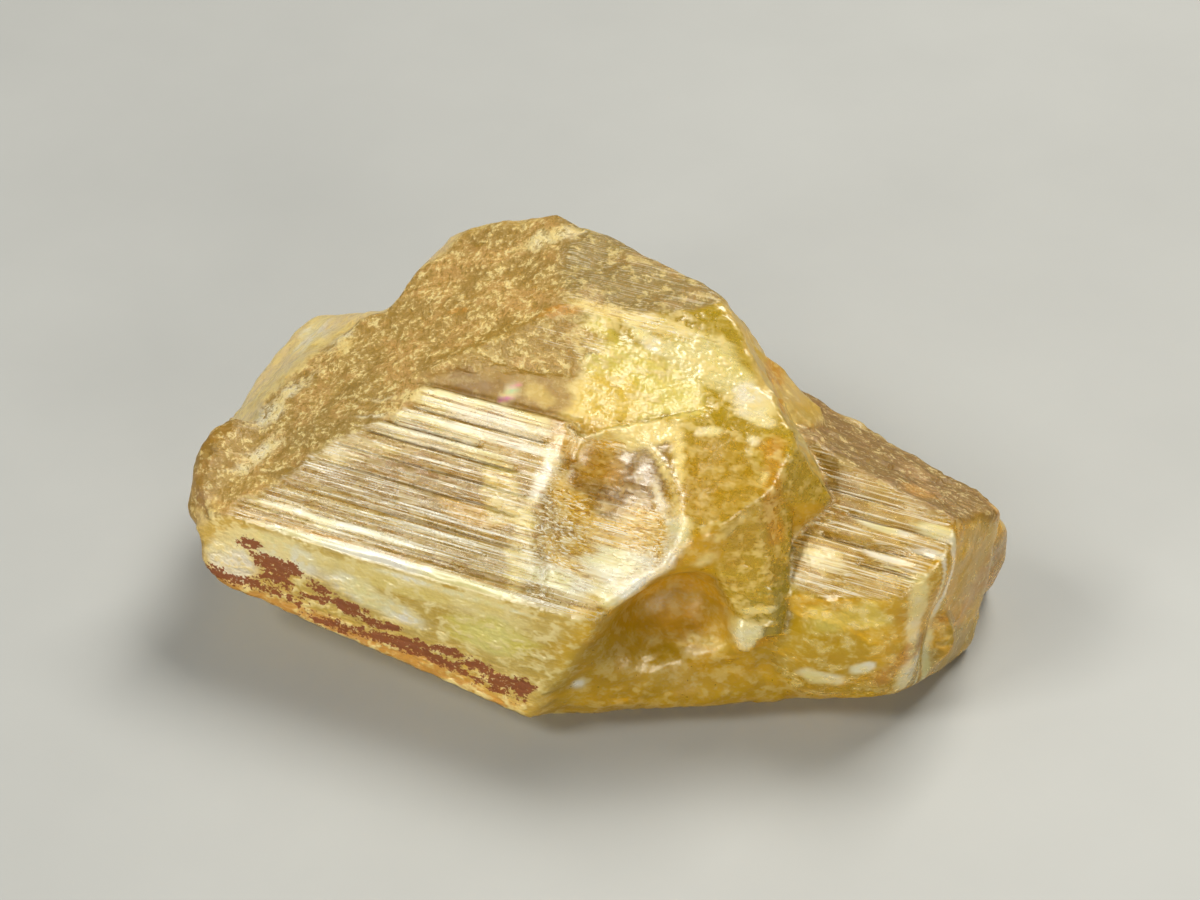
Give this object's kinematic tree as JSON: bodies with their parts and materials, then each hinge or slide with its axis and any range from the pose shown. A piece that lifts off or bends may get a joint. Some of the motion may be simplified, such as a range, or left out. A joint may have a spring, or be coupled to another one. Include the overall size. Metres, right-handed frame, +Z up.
{
  "type": "richterite crystal",
  "caption": "Loose, broken golden amphibole prism, striated along its length, with a milky side face, a grainy slope and shell-shaped break hollows, lying on a worn flat spot.",
  "frame": {"origin": "on the flat worn spot that the crystal rests on, below its middle", "axes": "+X along the crystal's long axis and its striations, towards the thin tip; +Y away from the striated face; +Z up"},
  "size_m": [0.0257, 0.0141, 0.0127],
  "materials": {
    "crystal": "natural, translucent honey-golden crystal: silky striated prism faces, a milky face with red-brown iron stains, a dull grainy tan slope and glossy breaks"
  },
  "bodies": {
    "root": {"crystal": "crystal"}
  },
  "joints": []
}
